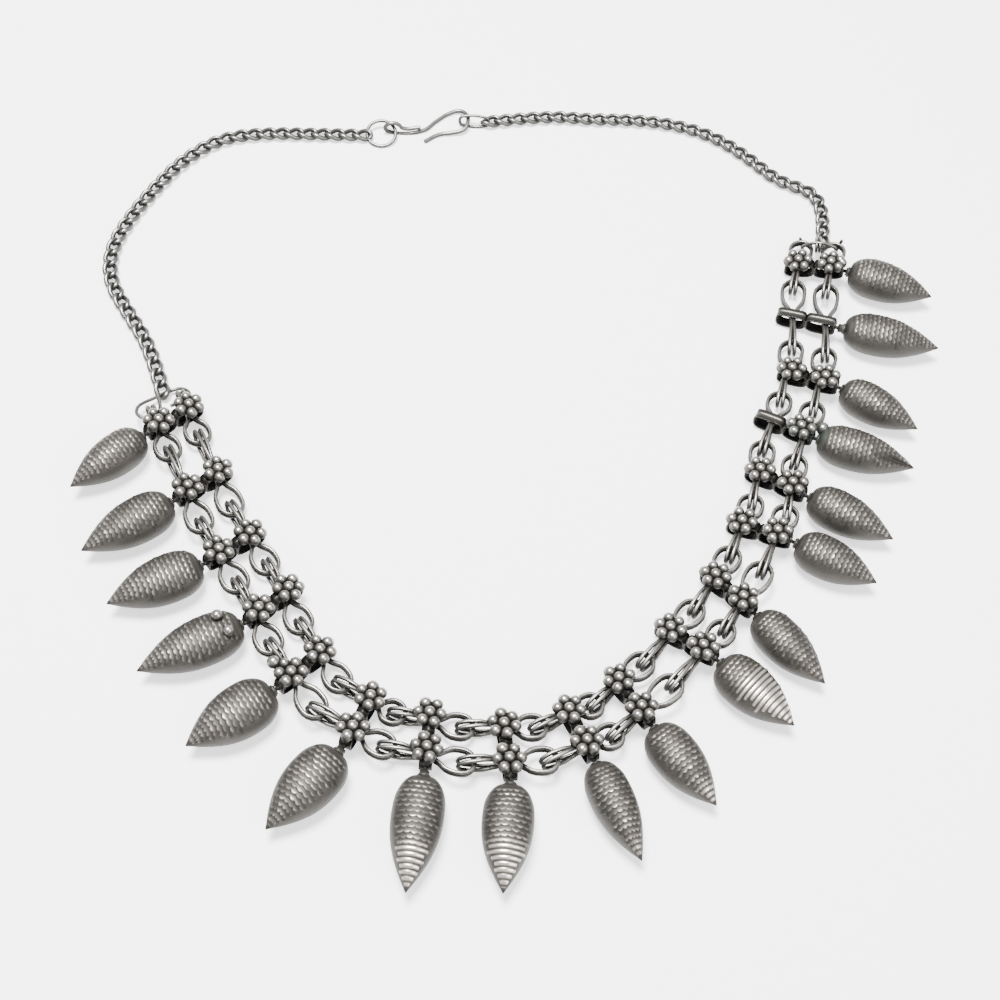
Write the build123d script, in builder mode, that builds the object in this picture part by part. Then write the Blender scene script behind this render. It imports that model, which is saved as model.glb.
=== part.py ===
from build123d import *
from collections import namedtuple
import math
import os

os.makedirs("parts", exist_ok=True)

# A choker of oxidised silver, lying closed on a flat surface.
# Two rows of folded wire links run through eighteen spacers, and a barley drop hangs from each spacer.
# All sizes are in millimetres. Headings are in degrees, counted from +X toward +Y.

# The band of spacers
row_pitch = 12.2
row_spacing = 6.0
collar_width = 5.5
collar_height = 3.15
collar_length = 2.0
collar_side = 2.65
collar_flat = 3.7
shoulder_inset = 0.4
flat_inset = 0.6
solder_overlap = 0.1
strip = 0.35
band_tilt = 9.5

# The rosettes of granules on the collars
granule_pitch = 1.75
granule_skirt = 0.7
granule_rise = 0.85
granule_sink = 0.1

# The folded wire links of the two rows
row_wire = 0.65
shank_width = 0.9
eye_width = 3.9
eye_end_width = 2.4
eye_gap = 0.1
fold_slack = 0.1
fold_back = 1.45
fold_over = 0.5
fold_rise = 1.28
first_fold_back = 1.6
first_fold_over = 0.3
first_fold_rise = 1.0
eye_start = 0.25
eye_widest_share = 0.48
joint_bow = 0.1
first_joint_reach = 3.0
first_joint_drop = 0.08
last_joint_reach = 5.2

# The drops
drop_length = 16.6
drop_width = 7.8
drop_depth = 6.6
drop_sides = 10
neck_sides = 5
peg_sides = 4
peg_diameter = 0.7
peg_clearance = 0.5
peg_hole_height = 0.0
peg_hole_margin = 0.2
head_diameter = 1.5
head_thickness = 0.3
head_gap = 0.37
neck_diameter = 1.7
neck_gap = 0.45
neck_root = 0.05

# The back chains
chain_width = 2.8
chain_height = 2.0

# The joining wire, the joining rings and the clasp
wire_sides = 5
join_wire = 0.62
ring_wire = 0.5
ring_gap = 0.1
right_ring_place = 0.45
clasp_ring_wire = 0.7
clasp_ring_diameter = 6.3
clasp_ring_tilt = 15.0
clasp_ring_corners = 12
hook_wire = 0.8
end_link_wire = 0.6
end_link_length = 6.2
end_link_width = 2.6
end_link_tilt = 62.0
end_link_corners = 8
end_link_squareness = 0.6

# One row for each spacer, from the left end of the front to its right end.
# gap_heading and gap_share: the way to the next spacer, and its distance as a share of the row pitch.
# collar_heading: the way from the inner collar to the outer one. drop_heading: the way the drop lies.
# length_share and width_share: the drop's size. neck: the stretch of neck that shows.
# inner_turn and outer_turn: how far each rosette is turned, or None where a collar is bare.
Station = namedtuple(
    "Station",
    "gap_heading gap_share collar_heading drop_heading length_share width_share neck inner_turn outer_turn",
)
stations = [
    Station(-58, 1.16, -132, -129, 0.92, 0.92, 0.8, 10, 25),
    Station(-56, 1.08, -131, -138, 1.01, 1.02, 0.8, 0, 12),
    Station(-49, 1.00, -133, -146, 0.98, 1.06, 0.8, 20, 5),
    Station(-56, 0.99, -129, -145, 1.07, 1.04, 0.8, 28, 15),
    Station(-36, 0.99, -127, -137, 0.96, 1.10, 1.0, 5, 22),
    Station(-9, 0.86, -108, -123, 1.00, 1.08, 1.4, 15, 0),
    Station(-1, 0.97, -87, -91, 1.12, 1.01, 1.4, 25, 18),
    Station(21, 0.92, -77, -88, 1.02, 1.00, 1.0, 8, 27),
    Station(40, 0.81, -60, -61, 0.99, 0.86, 0.8, 0, 10),
    Station(52, 1.12, -52, -48, 0.93, 0.96, 0.8, 18, 3),
    Station(57, 0.97, -30, -38, 0.93, 1.04, 0.9, 12, 20),
    Station(68, 1.07, -42, -44, 0.94, 0.92, 0.8, 26, 8),
    Station(75, 0.86, -16, -23, 0.91, 0.96, 1.0, 4, 16),
    Station(83, 0.97, -26, -24, 0.96, 0.97, 0.8, 22, 29),
    Station(69, 0.97, -24, -12, 1.06, 0.99, 0.8, None, 6),
    Station(91, 1.09, -16, -27, 0.93, 0.92, 0.8, 14, 24),
    Station(83, 1.07, -14, -6, 1.13, 1.04, 1.6, None, None),
    Station(0, 0.0, -4, -13, 1.01, 1.04, 1.1, 9, 19),
]

# The drop's outline: each section's place as a share of the body, and its share of the full width.
drop_sections = [
    (0.00, 0.42),
    (0.10, 0.82),
    (0.32, 1.00),
    (0.60, 0.85),
    (0.82, 0.50),
]

# Where things lie, on a plan whose zero is near the middle of the neck.
first_spacer = Vector(-46.1, -16.4, 0)
left_route = [
    (-49.8, -9.5),
    (-53.6, -1.2),
    (-59.2, 5.8),
    (-64.4, 12.6),
    (-66.0, 20.2),
    (-64.4, 28.2),
    (-61.6, 36.0),
    (-58.2, 43.8),
    (-52.4, 50.8),
    (-44.6, 53.6),
    (-36.2, 54.9),
    (-25.4, 56.4),
]
right_route = [
    (-0.9, 64.4),
    (9.8, 67.9),
    (18.6, 68.4),
    (27.4, 69.8),
    (35.8, 69.9),
    (43.6, 67.9),
    (50.4, 63.4),
    (56.6, 57.6),
    (63.4, 56.2),
    (65.6, 50.6),
    (65.2, 43.6),
]
clasp_ring_place = Vector(-21.8, 57.4, 1.07)
end_link_place = Vector(-4.2, 63.7, 1.2)
end_link_heading = 5.0

# The hook's wire, from the end that is folded back on the shank to the blunt tip.
hook_route = [
    (-14.4, 60.1, 1.32),
    (-17.9, 59.3, 1.32),
    (-18.5, 59.2, 2.1),
    (-19.5, 59.0, 2.65),
    (-20.7, 58.7, 2.4),
    (-21.2, 58.6, 1.4),
    (-20.4, 58.8, 0.42),
    (-14.0, 60.2, 0.42),
    (-11.6, 63.3, 0.42),
    (-9.3, 65.8, 0.5),
    (-7.4, 66.6, 0.7),
    (-5.9, 65.6, 0.95),
    (-5.4, 63.2, 1.25),
    (-5.9, 61.4, 1.0),
    (-8.2, 60.4, 0.6),
    (-10.6, 59.7, 0.42),
    (-13.2, 57.3, 0.42),
]


# Small helpers

def heading(degrees):
    """The level unit vector that points along a heading."""
    angle = math.radians(degrees)
    return Vector(math.cos(angle), math.sin(angle), 0)


def unit(vector):
    return vector * (1.0 / vector.length)


def rotate_about(vector, axis, angle):
    """The vector turned about a unit axis by an angle in radians."""
    across = axis.cross(vector)
    lengthwise = axis * axis.dot(vector)
    return vector * math.cos(angle) + across * math.sin(angle) + lengthwise * (1 - math.cos(angle))


def carried(offset, old_way, new_way):
    """An offset square to one run of wire, carried round the corner to the next run."""
    axis = old_way.cross(new_way)
    if axis.length < 1e-6:
        return offset
    angle = math.atan2(axis.length, old_way.dot(new_way))
    return rotate_about(offset, unit(axis), angle)


def closed_solid(faces):
    return Solid(Shell(faces))


def panel(points):
    return Face(Wire.make_polygon(points, close=True))


def wire_solid(points, diameter, sides, closed, first_side):
    """A wire of straight runs with mitred corners. first_side is the way its first edge faces."""
    count = len(points)
    runs = count if closed else count - 1
    ways = [unit(points[(i + 1) % count] - points[i]) for i in range(runs)]
    start = first_side - ways[0] * first_side.dot(ways[0])
    start = unit(start) * (diameter / 2)
    offsets = [rotate_about(start, ways[0], 2 * math.pi * side / sides) for side in range(sides)]
    rings = []
    for i in range(count):
        before = ways[(i - 1) % runs] if closed or i > 0 else ways[0]
        after = ways[i] if i < runs else ways[-1]
        if i > 0:
            offsets = [carried(offset, before, after) for offset in offsets]
        mitre = unit(before + after)
        ring = [points[i] + offset - after * (offset.dot(mitre) / after.dot(mitre)) for offset in offsets]
        rings.append(ring)
    faces = []
    for i in range(runs):
        near = rings[i]
        far = rings[(i + 1) % count]
        for side in range(sides):
            other = (side + 1) % sides
            faces.append(panel([near[side], near[other], far[other], far[side]]))
    if not closed:
        faces.append(panel(rings[0]))
        faces.append(panel(rings[-1]))
    return closed_solid(faces)


# The plan is worked out by walking from spacer to spacer

plan_mids = []
walker = first_spacer
for station in stations:
    plan_mids.append(walker)
    walker = walker + heading(station.gap_heading) * (row_pitch * station.gap_share)

collar_step = collar_width - solder_overlap
band_half = (collar_step + collar_width) / 2
tilt = math.radians(band_tilt)
band_height = band_half * math.sin(tilt) + collar_height / 2 * math.cos(tilt)

plan_tips = []
for station, mid in zip(stations, plan_mids):
    wall_reach = (band_half - strip / 2) * math.cos(tilt) - peg_hole_height * math.sin(tilt)
    wall = mid + heading(station.collar_heading) * wall_reach
    plan_tips.append(wall + heading(station.drop_heading) * (strip / 2 + drop_length * station.length_share))


def chain_path(route):
    """A level path of straight runs and tangent arcs, each arc as large as its two runs allow."""
    points = [Vector(x, y, chain_height / 2) for x, y in route]
    edges = []
    radii = []
    here = points[0]
    for i in range(1, len(points) - 1):
        before = points[i] - points[i - 1]
        after = points[i + 1] - points[i]
        turn = math.atan2(before.cross(after).length, before.dot(after))
        setback = 0.45 * min(before.length, after.length)
        arc_start = points[i] - unit(before) * setback
        arc_end = points[i] + unit(after) * setback
        edges.append(Edge.make_line(here, arc_start))
        edges.append(Edge.make_tangent_arc(arc_start, unit(before), arc_end))
        radii.append(setback / math.tan(turn / 2))
        here = arc_end
    edges.append(Edge.make_line(here, points[-1]))
    print("chain length", round(sum(edge.length for edge in edges), 1))
    print("radii", [round(radius, 1) for radius in radii])
    return Wire(edges)


left_plan_path = chain_path(left_route)
right_plan_path = chain_path(right_route)
left_edge = left_plan_path.bounding_box().min.X - chain_width / 2
far_edge = right_plan_path.bounding_box().max.Y + chain_width / 2
near_edge = min(tip.Y for tip in plan_tips)
right_edge = max(tip.X for tip in plan_tips)

# The origin is the middle of the whole choker, on the surface that it lies on.
centre = Vector((left_edge + right_edge) / 2, (near_edge + far_edge) / 2, 0)

mids = [mid - centre + Vector(0, 0, band_height) for mid in plan_mids]
outs = []
ups = []
alongs = []
for station in stations:
    level = heading(station.collar_heading)
    outs.append(level * math.cos(tilt) + Vector(0, 0, math.sin(tilt)))
    ups.append(Vector(0, 0, math.cos(tilt)) - level * math.sin(tilt))
    alongs.append(heading(station.collar_heading + 90))


# A collar is a low tunnel of flat strip, and a spacer is two of them side by side

def collar_outline(inset):
    """The collar's section, or its tunnel when inset by the strip's thickness."""
    half = collar_width / 2 - inset
    bottom = -collar_height / 2 + inset
    top = collar_height / 2 - inset
    shoulder = -collar_height / 2 + collar_side - inset * shoulder_inset
    flat = collar_flat / 2 - inset * flat_inset
    return [(-half, bottom), (-half, shoulder), (-flat, top), (flat, top), (half, shoulder), (half, bottom)]


def rosette(base, out, along, up, turn):
    """Seven granules, one in the middle and six round it, as one faceted solid on the base point."""
    corner_reach = granule_pitch / math.sqrt(3)

    def at(x, y, z):
        return base + out * x + along * y + up * z

    cells = [(0.0, 0.0)]
    for step in range(6):
        angle = math.radians(turn + 60 * step)
        cells.append((granule_pitch * math.cos(angle), granule_pitch * math.sin(angle)))
    faces = []
    rim = []
    for number, (x, y) in enumerate(cells):
        corners = []
        for step in range(6):
            angle = math.radians(turn + 30 + 60 * step)
            corners.append((x + corner_reach * math.cos(angle), y + corner_reach * math.sin(angle)))
        top = at(x, y, granule_skirt + granule_rise)
        for step in range(6):
            first = at(*corners[step], granule_skirt)
            second = at(*corners[(step + 1) % 6], granule_skirt)
            faces.append(panel([first, second, top]))
        if number > 0:
            rim += [corners[(number - 1 + shift) % 6] for shift in (5, 0, 1)]
    for first, second in zip(rim, rim[1:] + rim[:1]):
        low_edge = [at(*first, 0), at(*second, 0)]
        high_edge = [at(*second, granule_skirt), at(*first, granule_skirt)]
        faces.append(panel(low_edge + high_edge))
    faces.append(panel([at(x, y, 0) for x, y in rim]))
    return closed_solid(faces)


for number, station in enumerate(stations):
    out, along, up = outs[number], alongs[number], ups[number]
    section = Plane(origin=mids[number], x_dir=out, z_dir=along * -1)
    hole = Plane(
        origin=mids[number] + out * (band_half + peg_hole_margin) + up * peg_hole_height,
        x_dir=along,
        z_dir=out,
    )
    rosettes = []
    for turn, side in ((station.inner_turn, -1), (station.outer_turn, 1)):
        if turn is not None:
            base = mids[number] + out * (side * row_spacing / 2) + up * (collar_height / 2 - granule_sink)
            rosettes.append(rosette(base, out, along, up, turn))
    with BuildPart() as spacer:
        with BuildSketch(section):
            with Locations((-collar_step / 2, 0), (collar_step / 2, 0)):
                Polygon(*collar_outline(0.0), align=None)
            with Locations((-collar_step / 2, 0), (collar_step / 2, 0)):
                Polygon(*collar_outline(strip), align=None, mode=Mode.SUBTRACT)
        extrude(amount=collar_length / 2, both=True)
        with BuildSketch(hole):
            RegularPolygon((peg_diameter + peg_clearance) / 2, peg_sides)
        extrude(amount=-(strip + 2 * peg_hole_margin), mode=Mode.SUBTRACT)
        add(rosettes)
    spacer_name = f"spacer_{number + 1:02d}"
    spacer.part.label = spacer_name
    export_step(spacer.part, f"parts/{spacer_name}.step")


# A drop is a barley body on a neck, with a peg through the outer collar's wall

def barley_body(start, way, side, length, half_width, half_depth):
    """A pointed spindle of flat facets, with a flat on top, one below and a corner at each side."""
    rings = []
    for place, share in drop_sections:
        ring = []
        for step in range(drop_sides):
            angle = 2 * math.pi * step / drop_sides
            across = half_width * share * math.cos(angle)
            rise = half_depth * share * math.sin(angle) / math.cos(math.pi / drop_sides)
            ring.append(start + way * (length * place) + side * across + Vector(0, 0, rise))
        rings.append(ring)
    tip = start + way * length
    faces = [panel(rings[0])]
    for near, far in zip(rings, rings[1:]):
        for step in range(drop_sides):
            other = (step + 1) % drop_sides
            faces.append(panel([near[step], near[other], far[other], far[step]]))
    for step in range(drop_sides):
        faces.append(panel([rings[-1][step], rings[-1][(step + 1) % drop_sides], tip]))
    return closed_solid(faces)


for number, station in enumerate(stations):
    way = heading(station.drop_heading)
    side = heading(station.drop_heading + 90)
    wall = mids[number] + outs[number] * (band_half - strip / 2) + ups[number] * peg_hole_height
    wall = Vector(wall.X, wall.Y, drop_depth / 2)
    half_width = drop_width * station.width_share / 2
    body_start = strip / 2 + station.neck
    body_length = drop_length * station.length_share - station.neck
    body = barley_body(wall + way * body_start, way, side, body_length, half_width, drop_depth / 2)

    def square_to_drop(distance):
        return Plane(origin=wall + way * distance, x_dir=side, z_dir=way)

    with BuildPart() as drop:
        add(body)
        with BuildSketch(square_to_drop(body_start + neck_root)):
            RegularPolygon(neck_diameter / 2, neck_sides)
        extrude(amount=-(station.neck - neck_gap + neck_root))
        with BuildSketch(square_to_drop(strip / 2 + neck_gap)):
            RegularPolygon(peg_diameter / 2, peg_sides)
        extrude(amount=-(strip + neck_gap + head_gap))
        with BuildSketch(square_to_drop(-strip / 2 - head_gap)):
            RegularPolygon(head_diameter / 2, peg_sides)
        extrude(amount=-head_thickness)
    drop_name = f"drop_{number + 1:02d}"
    drop.part.label = drop_name
    export_step(drop.part, f"parts/{drop_name}.step")


# A row is eighteen folded wire links, each one through its collar and through the eyes before it

def joints_of(collars):
    """Where each link meets the next, with the two free ends."""
    last = len(collars) - 1
    joints = []
    for i in range(last):
        middle = (collars[i] + collars[i + 1]) * 0.5
        outer_pair = collars[max(i - 1, 0)] + collars[min(i + 2, last)]
        joints.append(middle + (collars[i] + collars[i + 1] - outer_pair) * joint_bow)
    first = collars[0] + unit(collars[0] - joints[0]) * first_joint_reach
    first = first - Vector(0, 0, first_joint_drop)
    end = collars[last] + unit(collars[last] - joints[-1]) * last_joint_reach
    return [first] + joints + [end]


def folded_link(start, end, collar, up, fold):
    """One loop of wire folded in two: the fold at the start, the two eyes at the end."""
    back, over, rise = fold
    way = unit(end - start)
    lift = unit(up - way * up.dot(way))
    side = lift.cross(way)
    reach = (end - start).length + fold_slack + row_wire
    passing = (collar - start).dot(way)
    shank_end = passing + collar_length / 2 + eye_start
    widest = shank_end + (reach - shank_end) * eye_widest_share
    shank = shank_width / 2
    layer = (eye_gap + row_wire) / 2
    quarter = [
        (over, shank, rise),
        (shank_end, shank, layer),
        (widest, eye_width / 2, layer),
        (reach, eye_end_width / 2, layer),
    ]
    loop = [(x, y, z) for x, y, z in reversed(quarter)]
    loop += [(-back, shank, 0)]
    loop += [(x, y, -z) for x, y, z in quarter]
    loop += [(x, -y, -z) for x, y, z in reversed(quarter)]
    loop += [(-back, -shank, 0)]
    loop += [(x, -y, z) for x, y, z in quarter]
    points = [start + way * x + side * y + lift * z for x, y, z in loop]
    return wire_solid(points, row_wire, wire_sides, True, lift)


row_links = {}
for row_name, side in (("inner_row", -1), ("outer_row", 1)):
    collars = [mid + out * (side * row_spacing / 2) for mid, out in zip(mids, outs)]
    joints = joints_of(collars)
    links = []
    for number in range(len(stations)):
        if number == 0:
            fold = (first_fold_back, first_fold_over, first_fold_rise)
        else:
            fold = (fold_back, fold_over, fold_rise)
        links.append(folded_link(joints[number], joints[number + 1], collars[number], ups[number], fold))
    row_links[row_name] = links

with BuildPart() as inner_row:
    add(row_links["inner_row"])
inner_row.part.label = "inner_row"
export_step(inner_row.part, "parts/inner_row.step")

with BuildPart() as outer_row:
    add(row_links["outer_row"])
outer_row.part.label = "outer_row"
export_step(outer_row.part, "parts/outer_row.step")


# The left end: one open wire goes through both folds and round to the chain

def by_station(number, x, y, z):
    """A point beside a spacer: x toward the drop, y toward the next spacer, z up."""
    return mids[number] + outs[number] * x + alongs[number] * y + ups[number] * z


left_wire = [
    (0.0, -4.9, 2.0),
    (0.3, -3.5, 0.8),
    (1.0, -2.8, 0.07),
    (3.6, -2.8, 0.07),
    (3.9, -5.1, -0.2),
    (-1.4, -6.5, -1.0),
    (-3.6, -6.4, -1.0),
    (-5.6, -5.0, -0.3),
    (-5.2, -2.8, 0.07),
    (-1.4, -2.8, 0.07),
]
left_wire_solid = wire_solid([by_station(0, *p) for p in left_wire], join_wire, wire_sides, False, ups[0])
with BuildPart() as left_join:
    add(left_wire_solid)
left_join.part.label = "left_join"
export_step(left_join.part, "parts/left_join.step")


# The right end: a cross wire hooks into both last eyes, and two rings hold it to the chain

right_wire = [
    (4.8, 7.1, 0.4),
    (4.2, 6.9, -1.2),
    (3.8, 5.3, -1.44),
    (3.7, 4.5, -0.1),
    (3.5, 4.5, 1.1),
    (-2.2, 4.5, 1.1),
    (-2.4, 4.5, -0.1),
    (-2.3, 5.3, -1.44),
    (-2.5, 6.9, -1.2),
    (-3.0, 7.0, 0.5),
]
right_wire_solid = wire_solid([by_station(-1, *p) for p in right_wire], join_wire, wire_sides, False, ups[-1])
with BuildPart() as right_join:
    add(right_wire_solid)
right_join.part.label = "right_join"
export_step(right_join.part, "parts/right_join.step")

right_ring = [
    (3.55, 1.1),
    (3.9, 2.0),
    (4.8, 2.1),
    (7.6, 0.4),
    (8.2, -0.6),
    (7.9, -1.3),
    (6.9, -1.3),
    (4.2, 0.1),
]
ring_step = ring_wire + ring_gap
right_ring_solids = []
for x in (-ring_step / 2, ring_step / 2):
    ring_points = [by_station(-1, x + right_ring_place, y, z) for y, z in right_ring]
    right_ring_solids.append(wire_solid(ring_points, ring_wire, wire_sides, True, outs[-1]))
with BuildPart() as right_rings:
    add(right_ring_solids)
right_rings.part.label = "right_rings"
export_step(right_rings.part, "parts/right_rings.step")


# The back chains are plain tubes of the chain's outer size, of straight runs and tangent arcs

def chain_section_plane(path):
    start = path @ 0
    way = path % 0
    return Plane(origin=start, x_dir=Vector(0, 0, 1).cross(way), z_dir=way)


left_path = left_plan_path.moved(Location(centre * -1))
right_path = right_plan_path.moved(Location(centre * -1))
with BuildPart() as left_chain:
    with BuildSketch(chain_section_plane(left_path)):
        Rectangle(chain_width, chain_height)
    sweep(path=left_path)
left_chain.part.label = "left_chain"
export_step(left_chain.part, "parts/left_chain.step")

with BuildPart() as right_chain:
    with BuildSketch(chain_section_plane(right_path)):
        Rectangle(chain_width, chain_height)
    sweep(path=right_path)
right_chain.part.label = "right_chain"
export_step(right_chain.part, "parts/right_chain.step")


# The clasp: a ring on the left chain, a hook on the ring, and a long link that the hook holds

def tilted_loop(place, half_length, half_width, heading_angle, tilt_angle, corners, squareness):
    """A level loop turned to its heading and tilted about its length."""
    lengthwise = heading(heading_angle)
    level_side = heading(heading_angle + 90)
    lean = math.radians(tilt_angle)
    sideways = level_side * math.cos(lean) + Vector(0, 0, math.sin(lean))
    points = []
    for corner in range(corners):
        angle = 2 * math.pi * (corner + 0.5) / corners
        x = math.copysign(abs(math.cos(angle)) ** squareness, math.cos(angle)) * half_length
        y = math.copysign(abs(math.sin(angle)) ** squareness, math.sin(angle)) * half_width
        points.append(place - centre + lengthwise * x + sideways * y)
    return points


clasp_ring_reach = (clasp_ring_diameter - clasp_ring_wire) / 2
clasp_ring_points = tilted_loop(
    clasp_ring_place, clasp_ring_reach, clasp_ring_reach, 0, clasp_ring_tilt, clasp_ring_corners, 1.0
)
clasp_ring_solid = wire_solid(clasp_ring_points, clasp_ring_wire, wire_sides, True, Vector(0, 0, 1))
with BuildPart() as clasp_ring:
    add(clasp_ring_solid)
clasp_ring.part.label = "clasp_ring"
export_step(clasp_ring.part, "parts/clasp_ring.step")

hook_points = [Vector(*point) - centre for point in hook_route]
hook_solid = wire_solid(hook_points, hook_wire, wire_sides, False, Vector(0, 0, 1))
with BuildPart() as clasp_hook:
    add(hook_solid)
clasp_hook.part.label = "clasp_hook"
export_step(clasp_hook.part, "parts/clasp_hook.step")

end_link_points = tilted_loop(
    end_link_place,
    (end_link_length - end_link_wire) / 2,
    (end_link_width - end_link_wire) / 2,
    end_link_heading,
    end_link_tilt,
    end_link_corners,
    end_link_squareness,
)
end_link_solid = wire_solid(end_link_points, end_link_wire, wire_sides, True, Vector(0, 0, 1))
with BuildPart() as end_link:
    add(end_link_solid)
end_link.part.label = "end_link"
export_step(end_link.part, "parts/end_link.step")
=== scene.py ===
# %% [markdown]
# # A choker of oxidised folk silver
# The choker lies closed on a pale surface: two rows of folded wire links, eighteen pairs of
# collars with rosettes of granules, eighteen barley drops, two curb chains and a hook clasp. The
# solid model gives every piece its place. This lesson makes the real surfaces round it, one kind
# of piece at a time.

import math
import random
from collections import namedtuple

import bpy
from mathutils import Matrix, Vector


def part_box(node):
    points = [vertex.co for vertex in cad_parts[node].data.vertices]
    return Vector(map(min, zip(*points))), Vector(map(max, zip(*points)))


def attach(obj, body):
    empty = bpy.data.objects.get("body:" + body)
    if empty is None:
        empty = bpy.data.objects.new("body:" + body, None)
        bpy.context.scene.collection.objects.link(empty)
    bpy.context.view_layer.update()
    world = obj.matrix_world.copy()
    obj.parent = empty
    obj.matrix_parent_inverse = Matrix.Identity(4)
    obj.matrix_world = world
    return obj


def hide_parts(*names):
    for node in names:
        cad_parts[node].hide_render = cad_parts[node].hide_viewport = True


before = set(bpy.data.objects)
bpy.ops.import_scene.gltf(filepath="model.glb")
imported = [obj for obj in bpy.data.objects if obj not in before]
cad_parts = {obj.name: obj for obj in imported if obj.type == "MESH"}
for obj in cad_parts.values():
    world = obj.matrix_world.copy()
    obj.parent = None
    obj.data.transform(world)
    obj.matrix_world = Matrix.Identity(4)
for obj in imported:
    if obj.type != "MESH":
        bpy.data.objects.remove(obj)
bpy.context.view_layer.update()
MM = 0.001
print("nodes in the frame:", len(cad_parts))

# %% [markdown]
# ## The camera
# The photograph looks down at the choker from its front, with a small roll. A camera can be
# placed by its rotation angles, or by its three axes. Axes are used here, because each has a
# plain meaning: where the camera looks, and which way is up and right in the picture.

# %% The camera
camera_place = Vector((0.96, -141.4, 205.9))
camera_down = math.radians(58.0)
camera_roll = math.radians(7.0)
camera_lens = 52.2
camera_sensor = 36.0

look = Vector((0, math.cos(camera_down), -math.sin(camera_down)))
level_up = Vector((0, math.sin(camera_down), math.cos(camera_down)))
level_right = Vector((1, 0, 0))
camera_right = level_right * math.cos(camera_roll) + level_up * math.sin(camera_roll)
camera_up = level_up * math.cos(camera_roll) - level_right * math.sin(camera_roll)

camera = bpy.data.objects.new("camera", bpy.data.cameras.new("camera"))
camera.data.lens = camera_lens
camera.data.sensor_width = camera_sensor
camera.data.clip_start = 0.01
turn = Matrix((camera_right, camera_up, -look)).transposed()
camera.matrix_world = Matrix.Translation(camera_place * MM) @ turn.to_4x4()
bpy.context.scene.collection.objects.link(camera)
bpy.context.scene.camera = camera
print("camera height in mm:", camera_place.z)

# %% [markdown]
# ## Materials from arithmetic
# A material is a tree of nodes. Placing and linking each one by hand is long to read, so one
# small class wraps a socket: adding or multiplying two of them adds the Math node that does it. A
# second class holds the material, and its one method makes any other node.

# %% A value in a material, and the finish that holds it
class Value:
    """An output of a material's node. Arithmetic on it adds Math nodes."""

    def __init__(self, finish, socket):
        self.finish = finish
        self.socket = socket

    def math(self, operation, first, second):
        return self.finish.node("ShaderNodeMath", {"operation": operation}, {0: first, 1: second})

    def __add__(self, other):
        return self.math("ADD", self, other)

    def __radd__(self, other):
        return self.math("ADD", other, self)

    def __sub__(self, other):
        return self.math("SUBTRACT", self, other)

    def __rsub__(self, other):
        return self.math("SUBTRACT", other, self)

    def __mul__(self, other):
        return self.math("MULTIPLY", self, other)

    def __rmul__(self, other):
        return self.math("MULTIPLY", other, self)


class Finish:
    """A material with one shader. Its node method makes every node that isn't arithmetic."""

    def __init__(self, name):
        self.material = bpy.data.materials.new(name)
        self.material.use_nodes = True
        self.tree = self.material.node_tree
        self.shader = self.tree.nodes["Principled BSDF"]

    def node(self, kind, settings=None, inputs=None, output=0):
        node = self.tree.nodes.new(kind)
        for key, value in (settings or {}).items():
            if key == "stops":
                set_stops(node.color_ramp, value)
            else:
                setattr(node, key, value)
        for key, value in (inputs or {}).items():
            self.feed(node.inputs[key], value)
        return Value(self, node.outputs[output])

    def feed(self, socket, value):
        if isinstance(value, Value):
            self.tree.links.new(value.socket, socket)
        else:
            socket.default_value = value


def set_stops(ramp, stops):
    """Gives a colour ramp its stops, each a place and a colour."""
    while len(ramp.elements) < len(stops):
        ramp.elements.new(1.0)
    for element, (place, colour) in zip(ramp.elements, stops):
        element.position = place
        element.color = (*colour, 1.0)


# %% [markdown]
# ## Oxidised silver
# Old silver is black where nothing rubs it and bright where cloth and skin do. Each piece carries
# a number at every point, worked out from its own shape: nought in a groove and one on a crown.
# On the drops the same number also holds a painted highlight down the middle of the back, and
# painted shade on the flanks and where the drop goes in under its collar. The shader adds painted
# shade where metal lies close to other metal, and breaks both up with two noises, so that no two
# granules are alike. A flat grey would lose the whole character of the piece.

# %% The silver finish
# How far the painted shade between pieces of metal reaches, and how strong it is.
painted_shade_reach = 1.6
painted_shade_share = 0.85
broad_scale = 240.0
fine_scale = 2600.0
fine_patches = 0.18
dull_roughness = 0.62
dull_metal = 0.45
relief_depth = 0.05
green_spot = (0.0527, 0.0050, 0.0045)
green_stain = (0.055, 0.085, 0.068, 1.0)
stain_middle = 0.34
stain_fall = 130.0
stain_patches = 1.4


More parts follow.
